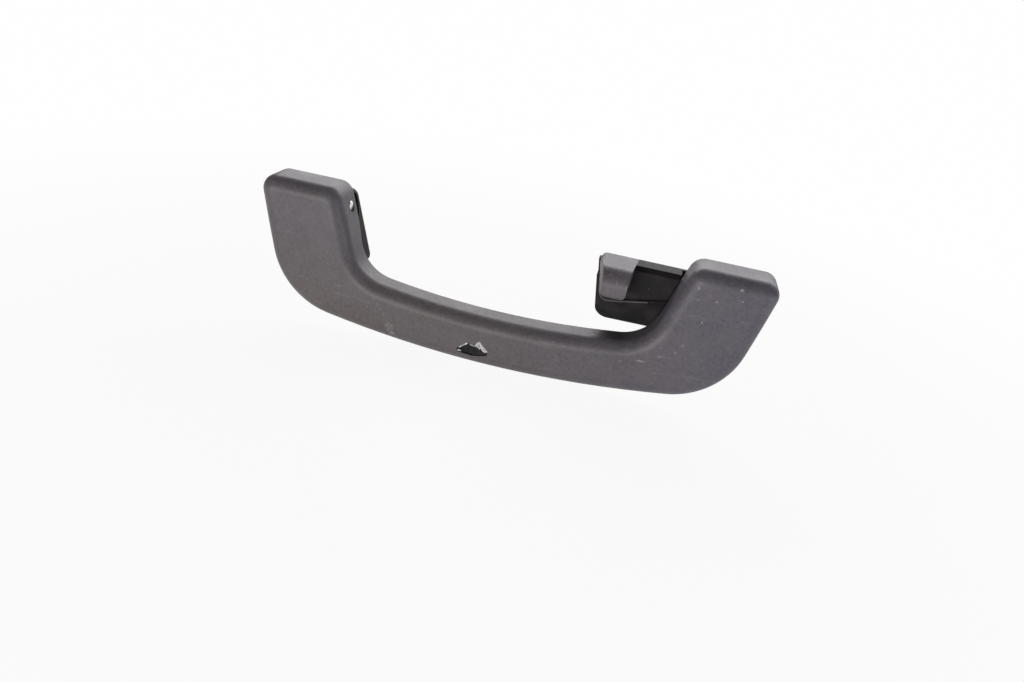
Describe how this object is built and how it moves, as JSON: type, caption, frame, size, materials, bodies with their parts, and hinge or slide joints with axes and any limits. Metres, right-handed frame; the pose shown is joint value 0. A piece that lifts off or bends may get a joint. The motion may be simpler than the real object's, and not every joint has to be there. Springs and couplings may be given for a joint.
{
  "type": "roof grab handle",
  "caption": "Swinging roof grab handle for a car: bowed grip on two hollow hinge arms, spring return and damper, brackets with fixing holes and a coat hook.",
  "frame": {"origin": "midway between the two fixing holes, on the face that lies against the roof", "axes": "+X along the hinge line to the coat hook end, +Y into the roof, +Z from the grip to the hinges"},
  "size_m": [0.2382, 0.0275, 0.0705],
  "materials": {
    "soft_paint": "charcoal soft-touch paint, fine grain, scuffed",
    "bracket_plastic": "bare black moulded plastic",
    "pin_steel": "bright ground steel",
    "sleeve_steel": "zinc-plated steel",
    "spring_steel": "oiled spring wire",
    "stop_rubber": "black moulded rubber",
    "damper_plastic": "natural acetal"
  },
  "bodies": {
    "base": {"left_hinge_bracket": "bracket_plastic", "right_hinge_bracket": "bracket_plastic", "coat_hook": "soft_paint", "hook_screw": "sleeve_steel", "left_sleeve": "sleeve_steel", "right_sleeve": "sleeve_steel", "left_inner_bump_stop": "stop_rubber", "left_outer_bump_stop": "stop_rubber", "right_inner_bump_stop": "stop_rubber", "right_outer_bump_stop": "stop_rubber", "return_spring": "spring_steel", "damper_housing": "damper_plastic", "damper_end_ring": "damper_plastic"},
    "swing": {"handle": "soft_paint", "left_hinge_pin": "pin_steel", "right_hinge_pin": "pin_steel", "damper_rotor": "damper_plastic"}
  },
  "joints": [
    {"name": "handle_swing", "type": "hinge", "parent": "base", "child": "swing", "pos_m": [0, -0.014, 0.015], "axis": [-1, 0, 0], "range_deg": [0, 85], "stiffness_Nm_per_rad": 0.12, "springref_deg": -20.05, "deforming": ["return_spring"]}
  ]
}
